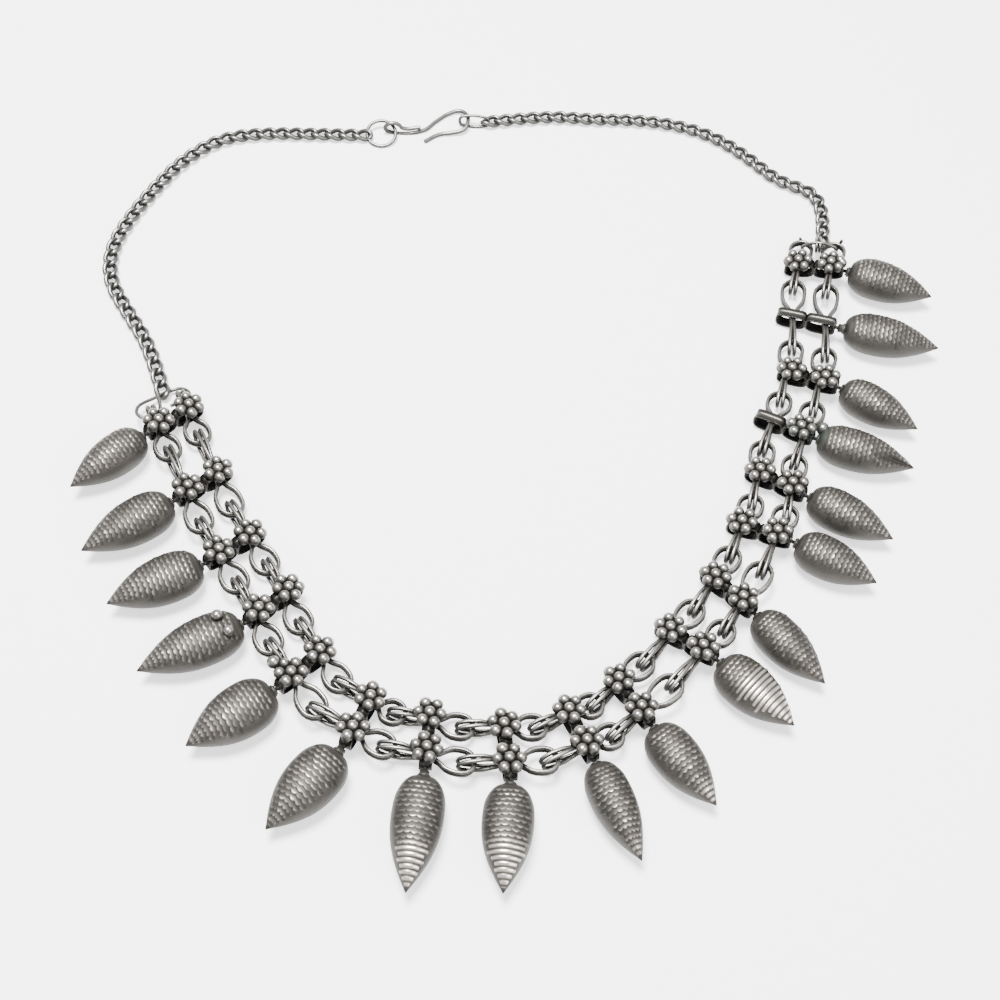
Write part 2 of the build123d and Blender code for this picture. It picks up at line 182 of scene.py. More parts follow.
def silver(name, stops, gloss, patches=0.22):
    """Oxidised silver. stops are its colours from the deepest black to the most rubbed metal."""
    finish = Finish(name)
    place = finish.node("ShaderNodeTexCoord", output="Object")
    wear = finish.node("ShaderNodeAttribute", {"attribute_name": "wear"}, output="Fac")
    # Painted shade: the Ambient Occlusion node darkens colour and shine where metal lies close to
    # other metal.
    painted_nook_shade = finish.node(
        "ShaderNodeAmbientOcclusion", {"samples": 8}, {"Distance": painted_shade_reach * MM}, output="AO"
    )
    broad = finish.node(
        "ShaderNodeTexNoise", inputs={"Vector": place, "Scale": broad_scale, "Detail": 3.0}
    )
    fine = finish.node(
        "ShaderNodeTexNoise", inputs={"Vector": place, "Scale": fine_scale, "Detail": 4.0}
    )
    shaded = 1 - painted_shade_share + painted_shade_share * (painted_nook_shade * painted_nook_shade)
    # Wear darkened by the painted shade above, with two noises of uneven tone.
    wear_and_painted_light = wear * shaded + (broad - 0.5) * patches + (fine - 0.5) * fine_patches
    colour = finish.node("ShaderNodeValToRGB", {"stops": stops}, {"Fac": wear_and_painted_light})
    away = finish.node(
        "ShaderNodeVectorMath",
        {"operation": "DISTANCE"},
        {0: place, 1: green_spot},
        output="Value",
    )
    stain = stain_middle - away * stain_fall + (broad - 0.5) * stain_patches
    stained = finish.node("ShaderNodeClamp", inputs={"Value": stain})
    colour = finish.node(
        "ShaderNodeMix", {"data_type": "RGBA"}, {0: stained, 6: colour, 7: green_stain}, output=2
    )
    finish.feed(finish.shader.inputs["Base Color"], colour)
    level = finish.node("ShaderNodeClamp", inputs={"Value": wear_and_painted_light})
    finish.feed(finish.shader.inputs["Roughness"], dull_roughness - gloss * level)
    finish.feed(finish.shader.inputs["Metallic"], dull_metal + 0.5 * level)
    relief = finish.node(
        "ShaderNodeBump", inputs={"Strength": 0.35, "Distance": relief_depth * MM, "Height": fine}
    )
    finish.feed(finish.shader.inputs["Normal"], relief)
    print("finish", name)
    return finish.material


olive_black = (0.012, 0.012, 0.010)
drop_metal = silver(
    "drop_silver",
    [
        (0.06, olive_black), (0.32, (0.052, 0.047, 0.041)), (0.54, (0.165, 0.147, 0.130)),
        (0.74, (0.43, 0.385, 0.345)), (0.93, (0.95, 0.87, 0.79)),
    ],
    0.34,
)
spacer_metal = silver(
    "spacer_silver",
    [
        (0.08, olive_black), (0.44, (0.042, 0.039, 0.034)), (0.72, (0.130, 0.123, 0.111)),
        (0.92, (0.29, 0.272, 0.25)), (1.0, (0.52, 0.49, 0.45)),
    ],
    0.36,
)
link_metal = silver(
    "link_silver",
    [
        (0.10, olive_black), (0.46, (0.036, 0.034, 0.030)), (0.76, (0.110, 0.103, 0.094)),
        (1.0, (0.34, 0.32, 0.295)),
    ],
    0.32,
)
chain_metal = silver(
    "chain_silver",
    [
        (0.12, olive_black), (0.46, (0.034, 0.033, 0.030)), (0.76, (0.105, 0.102, 0.096)),
        (1.0, (0.33, 0.32, 0.30)),
    ],
    0.36,
    0.14,
)

# %% [markdown]
# ## Collecting a piece
# A piece is often several shapes, such as two collars and fourteen granules. Joining objects
# would work, but it needs a selection each time. A heap of points, faces and a number for each
# point, which holds wear and painted light, is simpler, and it puts the piece straight at the
# origin, with its place in its mesh.

# %% The heap
class Heap:
    """Points in millimetres, faces, and wear with painted light, which become one piece."""

    def __init__(self):
        self.points = []
        self.faces = []
        self.wear = []

    def add(self, points, faces, wear):
        first = len(self.points)
        self.points += [(x, y, max(z, 0.0)) for x, y, z in points]
        self.faces += [[first + corner for corner in face] for face in faces]
        self.wear += wear

    def add_mesh(self, mesh, wear):
        points = [vertex.co / MM for vertex in mesh.vertices]
        self.add(points, [list(face.vertices) for face in mesh.polygons], wear)

    def piece(self, name, slot, material, *nodes):
        mesh = bpy.data.meshes.new(name)
        mesh.from_pydata([(x * MM, y * MM, z * MM) for x, y, z in self.points], [], self.faces)
        mesh.attributes.new("wear", "FLOAT", "POINT").data.foreach_set("value", self.wear)
        mesh.shade_smooth()
        mesh.materials.append(material)
        obj = bpy.data.objects.new(name, mesh)
        bpy.context.scene.collection.objects.link(obj)
        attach(obj, "root")
        if nodes:
            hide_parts(*nodes)
        return obj


def plain_mesh(obj):
    """The object's evaluated shape as a mesh. The object itself is removed."""
    graph = bpy.context.evaluated_depsgraph_get()
    mesh = bpy.data.meshes.new_from_object(obj.evaluated_get(graph))
    bpy.data.objects.remove(obj)
    return mesh


def bent_wire(points, diameter, closed, steps=6):
    """A round wire that is bent smoothly through points in millimetres."""
    curve = bpy.data.curves.new("wire", "CURVE")
    curve.dimensions = "3D"
    curve.bevel_depth = diameter / 2 * MM
    curve.bevel_resolution = 2
    curve.resolution_u = steps
    curve.use_fill_caps = True
    spline = curve.splines.new("BEZIER")
    spline.bezier_points.add(len(points) - 1)
    spline.use_cyclic_u = closed
    for bend, point in zip(spline.bezier_points, points):
        bend.co = Vector(point) * MM
        bend.handle_left_type = "AUTO"
        bend.handle_right_type = "AUTO"
    obj = bpy.data.objects.new("wire", curve)
    bpy.context.scene.collection.objects.link(obj)
    return plain_mesh(obj)


# %% [markdown]
# ## The plan of the band
# Everything on the band follows from a walk along it, from one spacer to the next. The same short
# table as in the solid model gives each step and turn. The frame then says where the whole walk
# lies: the seventeenth spacer is bare, so the middle of its box is the middle of its collars.

# %% The plan
row_pitch = 12.2
row_spacing = 6.0
collar_width = 5.5
collar_step = 5.4
collar_height = 3.15
collar_length = 2.0
collar_side = 2.65
collar_flat = 3.7
strip = 0.35
bare_spacer = 17
band_tilt = math.radians(9.5)
band_half = (collar_step + collar_width) / 2
band_height = band_half * math.sin(band_tilt) + collar_height / 2 * math.cos(band_tilt)

Station = namedtuple(
    "Station",
    "gap_heading gap_share collar_heading drop_heading length_share width_share neck"
    " inner_turn outer_turn",
)
stations = [
    Station(-58, 1.16, -132, -129, 0.92, 0.92, 0.8, 10, 25),
    Station(-56, 1.08, -131, -138, 1.01, 1.02, 0.8, 0, 12),
    Station(-49, 1.00, -133, -146, 0.98, 1.06, 0.8, 20, 5),
    Station(-56, 0.99, -129, -145, 1.07, 1.04, 0.8, 28, 15),
    Station(-36, 0.99, -127, -137, 0.96, 1.10, 1.0, 5, 22),
    Station(-9, 0.86, -108, -123, 1.00, 1.08, 1.4, 15, 0),
    Station(-1, 0.97, -87, -91, 1.12, 1.01, 1.4, 25, 18),
    Station(21, 0.92, -77, -88, 1.02, 1.00, 1.0, 8, 27),
    Station(40, 0.81, -60, -61, 0.99, 0.86, 0.8, 0, 10),
    Station(52, 1.12, -52, -48, 0.93, 0.96, 0.8, 18, 3),
    Station(57, 0.97, -30, -38, 0.93, 1.04, 0.9, 12, 20),
    Station(68, 1.07, -42, -44, 0.94, 0.92, 0.8, 26, 8),
    Station(75, 0.86, -16, -23, 0.91, 0.96, 1.0, 4, 16),
    Station(83, 0.97, -26, -24, 0.96, 0.97, 0.8, 22, 29),
    Station(69, 0.97, -24, -12, 1.06, 0.99, 0.8, None, 6),
    Station(91, 1.09, -16, -27, 0.93, 0.92, 0.8, 14, 24),
    Station(83, 1.07, -14, -6, 1.13, 1.04, 1.6, None, None),
    Station(0, 0.0, -4, -13, 1.01, 1.04, 1.1, 9, 19),
]


def heading(degrees):
    """The level unit vector that points along a heading."""
    angle = math.radians(degrees)
    return Vector((math.cos(angle), math.sin(angle), 0))


plan_mids = [Vector((-46.1, -16.4, 0))]
for station in stations[:-1]:
    step = heading(station.gap_heading) * (row_pitch * station.gap_share)
    plan_mids.append(plan_mids[-1] + step)
bare_low, bare_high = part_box(f"spacer_{bare_spacer}")
centre = plan_mids[bare_spacer - 1] - (bare_low + bare_high) / 2 / MM
centre.z = 0
mids = [mid - centre + Vector((0, 0, band_height)) for mid in plan_mids]
outs = []
ups = []
alongs = []
for station in stations:
    level = heading(station.collar_heading)
    outs.append(level * math.cos(band_tilt) + Vector((0, 0, math.sin(band_tilt))))
    ups.append(Vector((0, 0, math.cos(band_tilt))) - level * math.sin(band_tilt))
    alongs.append(heading(station.collar_heading + 90))


def by_station(number, x, y, z):
    """A point beside a spacer: x toward the drop, y toward the next spacer, z up."""
    return mids[number] + outs[number] * x + alongs[number] * y + ups[number] * z


first_low, first_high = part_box("spacer_01")
miss = (mids[0] - (first_low + first_high) / 2 / MM).xy.length
print("plan centre in mm", [round(value, 2) for value in centre.xy])
print("miss at the first spacer in mm", round(miss, 2))

# %% [markdown]
# ## The drops
# Each drop is a hollow barley grain, stamped in two halves and joined along its sides. Its top
# has rows of small overlapping scales, and its flanks are plain. A bump map would lose the scales
# at the edge of the outline, and a sculpted one can't be named by sizes. So the drop is a spindle
# of rings, and a formula lifts each point: it finds the point's row and column, and how far up
# the scale it lies.

# %% The sizes of a drop
drop_length = 16.6
drop_width = 7.8
drop_depth = 6.6
scale_pitch = 0.78
scale_turn = 17.5
scale_rise = 0.17
scale_reach = 52.0
scales_start = 0.06
scales_end = 0.965
lip_place = 0.86
lip_curve = 0.34
lip_fall = 0.16
scale_crown = 0.38
body_rings = 140
top_columns = 52
flank_columns = 20
peg_radius = 0.33
head_radius = 0.70
neck_radius = 0.85
neck_start = 0.625
head_back = -0.845
head_front = -0.545
seam_width = 4.5
seam_depth = 0.10
flank_sink = 0.03
dented_drop = 15
dent_middle = (0.84, -20)
dent_reach = (0.36, 30)
dent_squeeze = 0.40
neck_wear = 0.42
peg_wear = 0.15
# The plain flank's low value is painted shade as well as wear.
flank_wear_and_shade = 0.30
valley_wear = 0.05

# The body's outline: each place as a share of its length, and its share of the full width.
outline = [
    (0.000, 0.30), (0.012, 0.48), (0.045, 0.66), (0.10, 0.82), (0.19, 0.955),
    (0.31, 1.0), (0.43, 0.985), (0.54, 0.92), (0.63, 0.82), (0.72, 0.68),
    (0.81, 0.50), (0.90, 0.29), (0.96, 0.13), (1.0, 0.03),
]
# Where the scales of some drops start to run together into plain ridges, and how fully.
ridged = {7: (0.55, 1.0), 8: (0.5, 1.0), 9: (0.75, 0.5), 10: (0.7, 0.7), 11: (0.25, 1.0)}
ridged_elsewhere = (0.8, 0.35)


def smooth_step(low, high, value):
    share = min(1.0, max(0.0, (value - low) / (high - low)))
    return share * share * (3 - 2 * share)


def outline_share(place):
    """The outline between its points, rounded through them."""
    last = len(outline) - 1
    i = 0
    while i < last - 1 and outline[i + 1][0] < place:
        i += 1
    (x0, y0), (x1, y1) = outline[i], outline[i + 1]
    share = (place - x0) / (x1 - x0)

    def slope(k):
        if k == 0 or k == last:
            near, far = (0, 1) if k == 0 else (last - 1, last)
        else:
            near, far = k - 1, k + 1
        return (outline[far][1] - outline[near][1]) / (outline[far][0] - outline[near][0])

    span = x1 - x0
    a = slope(i) * span - (y1 - y0)
    b = -slope(i + 1) * span + (y1 - y0)
    return (1 - share) * y0 + share * y1 + share * (1 - share) * ((1 - share) * a + share * b)


print("outline at a tenth and half way:", [round(outline_share(place), 2) for place in (0.1, 0.5)])

# %% [markdown]
# ## The scales and the dent
# The maker's stamp left rows of scales like a pine cone's, each rising to a lip over the next. On
# a few drops wear has run them into plain ridges, and one drop is crushed near its tip. The
# height at a point could be painted by hand. A formula is better here, because one set of sizes
# then serves all eighteen.

# %% The scales
def uneven(first, second, third):
    """A number from 0 to 1 that looks like chance, yet is always the same for the same three."""
    value = math.sin(first * 12.99 + second * 78.23 + third * 37.72) * 43758.5
    return value - math.floor(value)


def scale_height(number, along, length, angle):
    """How high the scales stand at a point, from 0 to 1, or None on the plain flank."""
    place = along / length
    row = (along - scales_start * length) / scale_pitch
    if row < 0 or place > scales_end:
        return None
    index = math.floor(row)
    rise = row - index
    shift = 0.5 * (index % 2)
    column = angle / scale_turn - shift
    nearest = round(column)
    reach = scale_reach * (1.0 - 0.25 * smooth_step(0.7, 1.0, place))
    reach += 8 * (uneven(number, index, 3) - 0.5)
    if abs((nearest + shift) * scale_turn) > reach:
        return None
    across = 2 * (column - nearest)
    edge = lip_place - lip_curve * across * across + 0.12 * uneven(number, index, nearest)
    if rise < edge:
        scale = 0.10 + 0.90 * (rise / edge) ** 1.5
    else:
        scale = 0.9 * max(0.0, 1 - (rise - edge) / lip_fall)
    scale *= 1 - scale_crown * across * across
    scale *= 0.55 + 0.45 * uneven(nearest, number, index)
    start, strength = ridged.get(number, ridged_elsewhere)
    ridge = math.sin(math.pi * rise) ** 0.8
    blend = strength * smooth_step(start, start + 0.15, place)
    return scale * (1 - blend) + ridge * blend


def dent_depth(number, place, angle):
    """How deep a point lies in the dent, from 0 to 1. One drop is crushed near its tip."""
    if number != dented_drop:
        return 0.0
    lengthwise = (place - dent_middle[0]) / dent_reach[0]
    across = (angle - dent_middle[1]) / dent_reach[1]
    return 1 - smooth_step(0.1, 1.0, math.hypot(lengthwise, across))


print("scale height at mid-back of drop 1:", round(scale_height(1, 8.0, drop_length, 0.0), 2))

# %% [markdown]
# ## One drop and its neck
# The drop hangs by a thin peg through its collar's wall, with a small head inside and a neck with
# a bead outside. A turned shape could come from the Screw modifier, but a drop is wider than it
# is deep and its scales break the turning. So the rings of points are placed one by one, and
# joined into one closed skin.

# %% One drop
def drop_piece(number, station):
    way = heading(station.drop_heading)
    side = heading(station.drop_heading + 90)
    wall = by_station(number - 1, band_half - strip / 2, 0, 0)
    wall.z = drop_depth / 2
    body_start = strip / 2 + station.neck
    length = drop_length * station.length_share - station.neck
    width_radius = drop_width * station.width_share / 2
    depth_radius = drop_depth / 2
    angles = [-60 + 120 * k / top_columns for k in range(top_columns)]
    angles += [60 + 240 * k / flank_columns for k in range(flank_columns)]
    bead = min(0.28, (body_start - neck_start) * 0.5)
    stem = [
        (head_back, head_radius),
        (head_front, head_radius),
        (head_front, peg_radius),
        (neck_start, peg_radius),
        (neck_start, neck_radius * 0.92),
        (body_start - 1.6 * bead, neck_radius * 0.92),
        (body_start - 1.1 * bead, neck_radius * 1.18),
        (body_start - 0.5 * bead, neck_radius * 1.22),
        (body_start - 0.05, neck_radius * 0.95),
    ]
    points = []
    wear = []
    for x, radius in stem:
        for angle in angles:
            turned = math.radians(angle)
            offset = side * math.sin(turned) * radius + Vector((0, 0, math.cos(turned) * radius))
            points.append(wall + way * x + offset)
            wear.append(neck_wear if x > neck_start else peg_wear)
    for ring in range(body_rings):
        place = (ring / (body_rings - 1)) ** 0.97
        share = outline_share(min(1.0, place))
        for angle in angles:
            turned = math.radians(angle)
            level = (angle + 180) % 360 - 180
            height = scale_height(number, place * length, length, level)
            dent = dent_depth(number, place, level)
            seam = math.exp(-((abs(level) - 90) / seam_width) ** 2)
            if height is None:
                lift = -flank_sink - seam_depth * seam
                # Painted shade: the plain flank is dark, and darker still toward the sides; the
                # seam's groove is darker with oxide.
                wear_and_painted_light = flank_wear_and_shade - 0.22 * seam - 0.06 * smooth_step(50, 90, abs(level))
            else:
                height *= 1 - 0.85 * dent
                lift = scale_rise * (height - 0.25) * min(1.0, share * 1.6)
                # Painted highlight: the middle of the back is made brighter and the sides darker,
                # by the angle round the drop.
                middle_highlight = math.cos(math.radians(level * 1.3))
                wear_and_painted_light = valley_wear + 0.10 * middle_highlight + (0.52 + 0.42 * middle_highlight) * height ** 1.45
            # The last few hundredths of the drop grow darker toward the tip.
            wear_and_painted_light *= 1 - 0.55 * smooth_step(0.93, 0.985, place)
            shrink = 1 - dent_squeeze * dent
            wide = (width_radius * share + lift) * shrink
            deep = (depth_radius * share + lift) * shrink
            offset = side * math.sin(turned) * wide + Vector((0, 0, math.cos(turned) * deep))
            points.append(wall + way * (body_start + length * place) + offset)
            # Painted shadow: the body's start goes black where it lies in under its collar and
            # rosette.
            wear.append(max(0.0, wear_and_painted_light * smooth_step(-0.02, 0.05, place)))
    ring_count = len(stem) + body_rings
    columns = len(angles)
    faces = []
    for ring in range(ring_count - 1):
        for k in range(columns):
            near = ring * columns + k
            beside = ring * columns + (k + 1) % columns
            faces.append([near, beside, beside + columns, near + columns])
    faces.append(list(range(columns - 1, -1, -1)))
    faces.append([(ring_count - 1) * columns + k for k in range(columns)])
    heap = Heap()
    heap.add(points, faces, wear)
    return heap.piece(f"barley_{number:02d}", "drop_silver", drop_metal, f"drop_{number:02d}")


drops = [drop_piece(number + 1, station) for number, station in enumerate(stations)]
print("faces in one drop:", len(drops[0].data.polygons))

# %% [markdown]
# ## Trees that repeat a shape
# Geometry Nodes copy one shape to many places and keep its sizes as named inputs. Two trees are
# used here: one sets granules on points, the other hooks curb links along a chain's route. A
# modifier's input is known by its socket's identifier, so a helper looks it up by the name that a
# reader sees.

# %% Helpers for a geometry tree
def new_tree(name, inputs):
    tree = bpy.data.node_groups.new(name, "GeometryNodeTree")
    tree.interface.new_socket("Geometry", in_out="INPUT", socket_type="NodeSocketGeometry")
    for label, value in inputs.items():
        socket = tree.interface.new_socket(label, in_out="INPUT", socket_type="NodeSocketFloat")
        socket.default_value = value
    tree.interface.new_socket("Geometry", in_out="OUTPUT", socket_type="NodeSocketGeometry")
    return tree


def tree_node(tree, kind, settings=None, inputs=None):
    """A node of a geometry tree. An input is a number, or an output socket to link from."""
    node = tree.nodes.new(kind)
    for key, value in (settings or {}).items():
        setattr(node, key, value)
    for key, value in (inputs or {}).items():
        if isinstance(value, bpy.types.NodeSocket):
            tree.links.new(value, node.inputs[key])
        else:
            node.inputs[key].default_value = value
    return node


def tree_math(tree, operation, first, second):
    """The result of a Math node on two numbers or sockets."""
    node = tree_node(tree, "ShaderNodeMath", {"operation": operation}, {0: first, 1: second})
    return node.outputs[0]


def grown(obj, tree, sizes):
    """The object's shape after the tree has run on it with the named sizes, as a plain mesh."""
    modifier = obj.modifiers.new("grow", "NODES")
    modifier.node_group = tree
    for item in tree.interface.items_tree:
        if item.in_out == "INPUT" and item.name in sizes:
            modifier[item.identifier] = sizes[item.name]
    return plain_mesh(obj)


print("geometry trees so far:", len(bpy.data.node_groups))

# %% [markdown]
# ## The granule tree
# A granule is a bead of silver that drew itself round as it melted, so no two are quite one size.
# The tree sets one low ball on every point it is given and varies the balls' sizes by a fixed
# seed. Separate spheres would look the same, but there are over two hundred, and one tree keeps
# their sizes together.

# %% The granule tree
granule_segments = 10
granule_rings = 7
granule_spread = 0.05
granule_foot_wear = 0.16
granule_tree = new_tree("granules", {"Radius": 0.9 * MM, "Spread": granule_spread})
start = granule_tree.nodes.new("NodeGroupInput")
ball = tree_node(
    granule_tree,
    "GeometryNodeMeshUVSphere",
    inputs={
        "Segments": granule_segments,
        "Rings": granule_rings,
        "Radius": start.outputs["Radius"],
    },
)
smallest = tree_math(granule_tree, "SUBTRACT", 1.0, start.outputs["Spread"])
largest = tree_math(granule_tree, "ADD", 1.0, start.outputs["Spread"])
chosen = tree_node(
    granule_tree,
    "FunctionNodeRandomValue",
    {"data_type": "FLOAT"},
    {"Seed": 7, 2: smallest, 3: largest},
)
copies = tree_node(
    granule_tree,
    "GeometryNodeInstanceOnPoints",
    inputs={
        "Points": start.outputs["Geometry"],
        "Instance": ball.outputs["Mesh"],
        "Scale": chosen.outputs[1],
    },
)
real = tree_node(
    granule_tree,
    "GeometryNodeRealizeInstances",
    inputs={"Geometry": copies.outputs["Instances"]},
)
dressed = tree_node(
    granule_tree,
    "GeometryNodeSetMaterial",
    inputs={"Geometry": real.outputs["Geometry"], "Material": spacer_metal},
)
tree_node(granule_tree, "NodeGroupOutput", inputs={"Geometry": dressed.outputs["Geometry"]})
print("nodes in the granule tree:", len(granule_tree.nodes))


def granules(places, radius):
    """Granules at places in millimetres. Returns their mesh and the number of points in each."""
    seeds = bpy.data.meshes.new("granule_places")
    seeds.from_pydata([tuple(place * MM) for place in places], [], [])
    holder = bpy.data.objects.new("granule_places", seeds)
    bpy.context.scene.collection.objects.link(holder)
    mesh = grown(holder, granule_tree, {"Radius": radius * MM, "Spread": granule_spread})
    return mesh, len(mesh.vertices) // len(places)


def add_granules(heap, places, up, radius):
    """Adds granules whose crowns are rubbed bright and whose feet are black."""
    mesh, count = granules(places, radius)
    wear = []
    for number, vertex in enumerate(mesh.vertices):
        height = (vertex.co / MM - places[number // count]).dot(up) / radius
        wear_and_painted_light = smooth_step(-0.25, 0.9, height)
        wear.append(granule_foot_wear + (1 - granule_foot_wear) * wear_and_painted_light)
    heap.add_mesh(mesh, wear)


# %% [markdown]
# ## The spacers
# A collar is a strip of silver bent to a low arch, and two of them are soldered side by side.
# Each has a rosette of seven granules on its top. The strip's own section, with its corners taken
# off, is carried round the arch. Cutting the corners of the arch twice rounds it as bending does.

# %% The collars and rosettes
granule_pitch = 1.75
granule_radius = 0.98
granule_seat = 0.42
middle_lift = 0.1
corner_cut = 0.05
bend_cut = 0.22
strip_outer_wear = 0.70
strip_inner_wear = 0.10


def rounded(corners):
    """The closed outline with its corners cut off twice."""
    for _ in range(2):
        cut = []
        for here, after in zip(corners, corners[1:] + corners[:1]):
            cut.append(here.lerp(after, bend_cut))
            cut.append(after.lerp(here, bend_cut))
        corners = cut
    return corners


def collar_outline():
    """The middle of the strip, seen along the row: a low arch with a flat top and a floor."""
    half = collar_width / 2 - strip / 2
    low = -collar_height / 2 + strip / 2
    high = collar_height / 2 - strip / 2
    shoulder = -collar_height / 2 + collar_side
    flat = collar_flat / 2
    corners = [
        (-half, low),
        (half, low),
        (half, shoulder),
        (flat, high),
        (-flat, high),
        (-half, shoulder),
    ]
    return rounded([Vector(corner) for corner in corners])


def add_collar(heap, number, shift):
    """One arch of strip, shift millimetres from the spacer's middle."""
    path = collar_outline()
    half_strip = strip / 2
    half_length = collar_length / 2
    section = []
    for across, lengthwise in ((1, 1), (1, -1), (-1, -1), (-1, 1)):
        first = (across * half_strip, lengthwise * (half_length - corner_cut))
        second = (across * (half_strip - corner_cut), lengthwise * half_length)
        section += [first, second] if across * lengthwise > 0 else [second, first]
    points = []
    wear = []
    for i, here in enumerate(path):
        tangent = (path[(i + 1) % len(path)] - path[i - 1]).normalized()
        normal = Vector((tangent.y, -tangent.x))
        for across, lengthwise in section:
            spot = here + normal * across
            points.append(by_station(number, spot.x + shift, lengthwise, spot.y))
            wear.append(strip_outer_wear if across > 0 else strip_inner_wear)
    count = len(section)
    faces = []
    for i in range(len(path)):
        ring = i * count
        next_ring = (i + 1) % len(path) * count
        for k in range(count):
            beside = (k + 1) % count
            faces.append([ring + k, ring + beside, next_ring + beside, next_ring + k])
    heap.add(points, faces, wear)


def rosette_places(number, shift, turn, chance):
    """One granule in the middle and six round it, each a little off its true place."""
    seat = collar_height / 2 + granule_seat
    places = [by_station(number, shift, 0, seat + middle_lift)]
    for step in range(6):
        angle = math.radians(turn + 60 * step)
        reach = granule_pitch * chance.uniform(0.96, 1.03)
        height = seat + chance.uniform(-0.08, 0.06)
        x = shift + reach * math.cos(angle)
        places.append(by_station(number, x, reach * math.sin(angle), height))
    return places


chance = random.Random(11)
for number, station in enumerate(stations):
    heap = Heap()
    for turned, side in ((station.inner_turn, -1), (station.outer_turn, 1)):
        add_collar(heap, number, side * collar_step / 2)
        if turned is not None:
            places = rosette_places(number, side * row_spacing / 2, turned, chance)
            add_granules(heap, places, ups[number], granule_radius)
    name = f"{number + 1:02d}"
    heap.piece("collars_" + name, "spacer_silver", spacer_metal, "spacer_" + name)
print("faces in one spacer:", len(heap.faces))

# %% [markdown]
# ## The maker's extra granules
# A few single granules sit apart from the rosettes: two on the shoulder of the fourth drop, and
# others at the fifth, the fifteenth and the eighteenth. Each is placed over its spot and let down
# until it sits on the drop or the collar below it, so that it touches from every side.

# %% The extra granules
collar_slope = 1.2
extra_seat = 0.45


def drop_top(number, spot):
    """The height of a drop's back, or of its outer collar, under a spot on the plan."""
    station = stations[number - 1]
    way = heading(station.drop_heading)
    wall = by_station(number - 1, band_half - strip / 2, 0, 0)
    offset = Vector((spot.x - wall.x, spot.y - wall.y, 0))
    along = offset.dot(way) - strip / 2 - station.neck
    place = along / (drop_length * station.length_share - station.neck)
    if place < 0:
        return by_station(number - 1, band_half - collar_slope, 0, collar_height / 2).z
    share = outline_share(min(1.0, place))
    half_width = drop_width * station.width_share / 2 * share
    across = offset.dot(heading(station.drop_heading + 90)) / half_width
    return drop_depth / 2 * (1 + share * math.sqrt(max(0.0, 1 - across * across)))


# Each: the spacer that it is near, its place on the plan and its radius.
extra_places = [
    (4, -30.6, -53.6, 0.95),
    (4, -28.4, -55.8, 0.90),
    (5, -20.9, -59.5, 1.05),
    (15, 63.7, -3.1, 1.15),
    (18, 67.6, 34.6, 0.95),
]
heap = Heap()
for number, x, y, radius in extra_places:
    spot = Vector((x, y, 0)) - centre
    seat = Vector((spot.x, spot.y, drop_top(number, spot) + extra_seat * radius))
    add_granules(heap, [seat], Vector((0, 0, 1)), radius)
    print("extra granule at spacer", number, "seat height in mm", round(seat.z, 2))
heap.piece("extra_granules", "spacer_silver", spacer_metal)

# %% [markdown]
# ## The rows of folded links
# Each link is a loop of wire folded in two: the fold hooks the two eyes of the link before it,
# the four strands go through the collar, and the eyes open on its other side. The wire is bent
# smoothly through the same points as the solid one. A tube with plain corners would read as bent
# pipe, not as wire.

# %% The folded links
row_wire = 0.65
shank_width = 0.9
eye_width = 3.9
eye_end_width = 2.4
eye_gap = 0.1
eye_layer = (eye_gap + row_wire) / 2
eye_start = 0.25
eye_widest_share = 0.48
fold_slack = 0.1
joint_bow = 0.1
first_reach = 3.0
first_drop = 0.08
last_reach = 5.2
wire_foot_wear = 0.30
wire_crown_wear = 0.92
# How far a fold reaches back over the joint, how far it goes on over it, and how high it rises.
fold = (1.45, 0.5, 1.28)
first_fold = (1.6, 0.3, 1.0)


def joints_of(collars):
    """Where each link meets the next, with the two free ends."""
    last = len(collars) - 1
    joints = []
    for i in range(last):
        middle = (collars[i] + collars[i + 1]) * 0.5
        outer_pair = collars[max(i - 1, 0)] + collars[min(i + 2, last)]
        joints.append(middle + (collars[i] + collars[i + 1] - outer_pair) * joint_bow)
    first = collars[0] + (collars[0] - joints[0]).normalized() * first_reach
    first.z -= first_drop
    end = collars[last] + (collars[last] - joints[-1]).normalized() * last_reach
    return [first] + joints + [end]


def folded_link(start, end, collar, up, bend):
    """The points of one link, from its fold through its collar to its two eyes."""
    back, over, rise = bend
    way = (end - start).normalized()
    lift = (up - way * up.dot(way)).normalized()
    side = lift.cross(way)
    reach = (end - start).length + fold_slack + row_wire
    shank_end = (collar - start).dot(way) + collar_length / 2 + eye_start
    widest = shank_end + (reach - shank_end) * eye_widest_share
    quarter = [
        (over, shank_width / 2, rise),
        (shank_end, shank_width / 2, eye_layer),
        (widest, eye_width / 2, eye_layer),
        (reach, eye_end_width / 2, eye_layer),
    ]
    loop = [(x, y, z) for x, y, z in reversed(quarter)]
    loop += [(-back, shank_width / 2, 0)]
    loop += [(x, y, -z) for x, y, z in quarter]
    loop += [(x, -y, -z) for x, y, z in reversed(quarter)]
    loop += [(-back, -shank_width / 2, 0)]
    loop += [(x, -y, z) for x, y, z in quarter]
    return [start + way * x + side * y + lift * z for x, y, z in loop]


def crown_wear(mesh, low, high):
    """Wire is rubbed on its upper side."""
    rub = wire_crown_wear - wire_foot_wear
    return [
        wire_foot_wear + rub * smooth_step(low, high, vertex.normal.z) for vertex in mesh.vertices
    ]


for row_name, side in (("inner_row", -1), ("outer_row", 1)):
    collars = [mid + out * (side * row_spacing / 2) for mid, out in zip(mids, outs)]
    joints = joints_of(collars)
    heap = Heap()
    for number in range(len(stations)):
        bend = first_fold if number == 0 else fold
        loop = folded_link(joints[number], joints[number + 1], collars[number], ups[number], bend)
        mesh = bent_wire(loop, row_wire, True, steps=4)
        heap.add_mesh(mesh, crown_wear(mesh, -0.2, 0.9))
    heap.piece(f"wire_{row_name}", "link_silver", link_metal, row_name)
    print(row_name, "faces", len(heap.faces))

